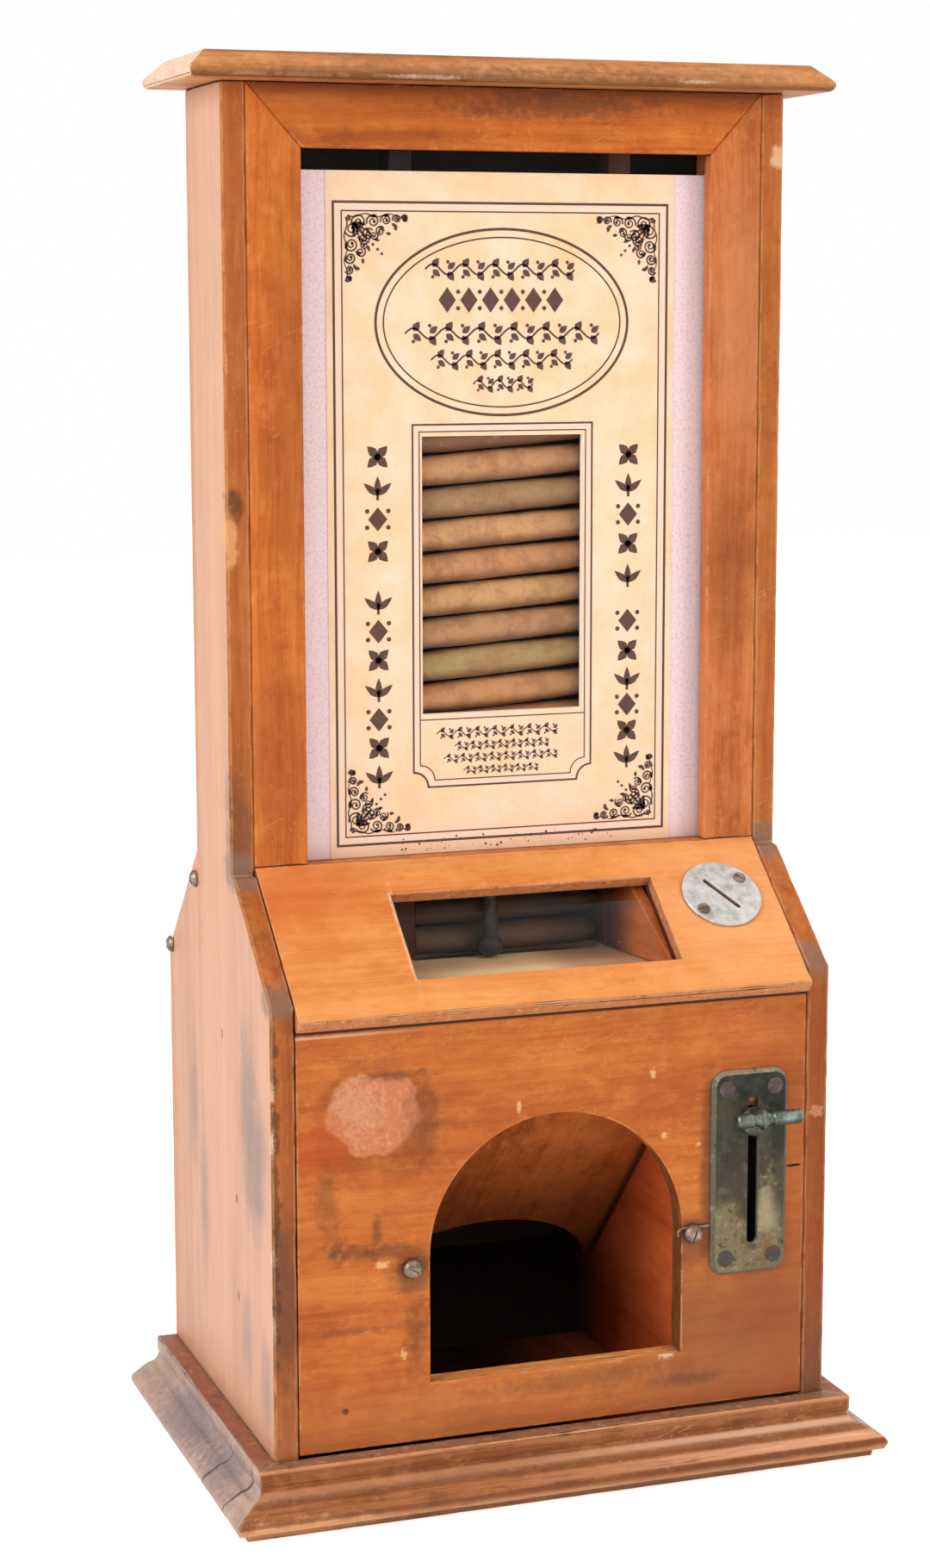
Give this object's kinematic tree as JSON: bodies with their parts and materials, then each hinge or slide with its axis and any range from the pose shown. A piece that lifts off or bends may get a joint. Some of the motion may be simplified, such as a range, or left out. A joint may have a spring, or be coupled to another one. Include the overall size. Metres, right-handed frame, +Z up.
{
  "type": "cigar vending machine",
  "caption": "Wooden counter-top cigar vending machine: framed display front, coin slot, push-down handle, arched delivery bin and a rack-and-gear delivery slide",
  "frame": {"origin": "middle of the underside, under the cabinet and its plinth, on the counter's surface", "axes": "+X to the right seen from the front, +Y to the rear, +Z up"},
  "size_m": [0.3582, 0.2459, 0.731],
  "materials": {
    "front_wood": "worn varnish, orange-brown",
    "side_wood": "faded bare wood, pale pink-tan",
    "slope_wood": "worn varnish, light orange",
    "plinth_wood": "worn varnish with bare edges",
    "cap_wood": "worn varnish with pale edges",
    "inner_wood": "dull unvarnished brown",
    "rear_wood": "dull bare wood",
    "slide_wood": "smooth light wood",
    "sign_paper": "aged cream card, printed",
    "backing_paper": "mottled lavender paper",
    "clear_glass": "old clear glass",
    "coin_metal": "dull plated metal with rust specks",
    "plate_metal": "dark olive, worn",
    "screw_steel": "dark oxidised steel",
    "handle_steel": "grey-green worn steel",
    "spring_steel": "bright drawn wire",
    "sheet_metal": "thin tinned sheet",
    "brass": "dull brass",
    "cigar_leaf": "dry brown leaf"
  },
  "bodies": {
    "cabinet": {"front_panel": "front_wood", "frame_left_stile": "front_wood", "frame_right_stile": "front_wood", "frame_top_rail": "front_wood", "left_side": "side_wood", "right_side": "side_wood", "slope_panel": "slope_wood", "plinth_front": "plinth_wood", "plinth_left": "plinth_wood", "plinth_right": "plinth_wood", "cap_board": "cap_wood", "bottom_board": "inner_wood", "frame_bottom_rail": "inner_wood", "glass_stops": "inner_wood", "left_partition": "inner_wood", "right_partition": "inner_wood", "shelf": "inner_wood", "deflector_board": "inner_wood", "delivery_floor": "inner_wood", "delivery_ramp": "inner_wood", "magazine_walls": "inner_wood", "magazine_back": "inner_wood", "rear_slope_panel": "rear_wood", "lower_rear_panel": "rear_wood", "sign_card": "sign_paper", "sign_backing": "backing_paper", "front_glass": "clear_glass", "slope_glass": "clear_glass", "coin_plate": "coin_metal", "handle_plate": "plate_metal", "coin_plate_screws": "screw_steel", "front_round_screws": "screw_steel", "wire_hook": "screw_steel", "handle_plate_screws": "screw_steel", "side_screws": "screw_steel", "retainer_finger": "screw_steel", "spring_bracket": "handle_steel", "coin_chute": "sheet_metal", "shaft_bush": "brass", "door_hinge_fixed_leaves": "brass", "door_hinge_pins": "brass", "cigar_stack": "cigar_leaf"},
    "handle": {"handle_bar": "handle_steel", "handle_stem": "handle_steel", "handle_block": "handle_steel", "rack_plate": "handle_steel", "return_spring": "spring_steel"},
    "gear_shaft": {"cross_shaft": "handle_steel", "drive_gear": "brass", "slide_pinion": "brass"},
    "slide": {"delivery_slide": "slide_wood", "slide_rack": "handle_steel", "pocket_cigar": "cigar_leaf"},
    "door": {"rear_door": "rear_wood", "door_keeper": "inner_wood", "door_hinge_leaves": "brass", "door_knob": "brass"},
    "drawer": {"coin_drawer_box": "slide_wood", "coin_drawer_front": "rear_wood", "coin_drawer_knob": "brass"}
  },
  "joints": [
    {"name": "handle_slide", "type": "slide", "parent": "cabinet", "child": "handle", "axis": [0, 0, -1], "range_m": [0, 0.064], "stiffness_N_per_m": 120, "springref_m": -0.06, "deforming": ["return_spring"]},
    {"name": "gear_spin", "type": "hinge", "parent": "cabinet", "child": "gear_shaft", "pos_m": [0.0795, -0.0191, 0.2371], "axis": [-1, 0, 0], "range_deg": [0, 112]},
    {"name": "cigar_slide", "type": "slide", "parent": "cabinet", "child": "slide", "axis": [0, 1, 0], "range_m": [0, 0.0235]},
    {"name": "door_hinge", "type": "hinge", "parent": "cabinet", "child": "door", "pos_m": [0.1396, 0.0547, 0.52], "axis": [0, 0, -1], "range_deg": [0, 110]},
    {"name": "drawer_slide", "type": "slide", "parent": "cabinet", "child": "drawer", "axis": [0, 1, 0], "range_m": [0, 0.12]}
  ],
  "couplings": [
    {"joint": "gear_spin", "follows": "handle_slide", "rad_per_m": 30.303},
    {"joint": "cigar_slide", "follows": "handle_slide", "ratio": 0.36364}
  ]
}
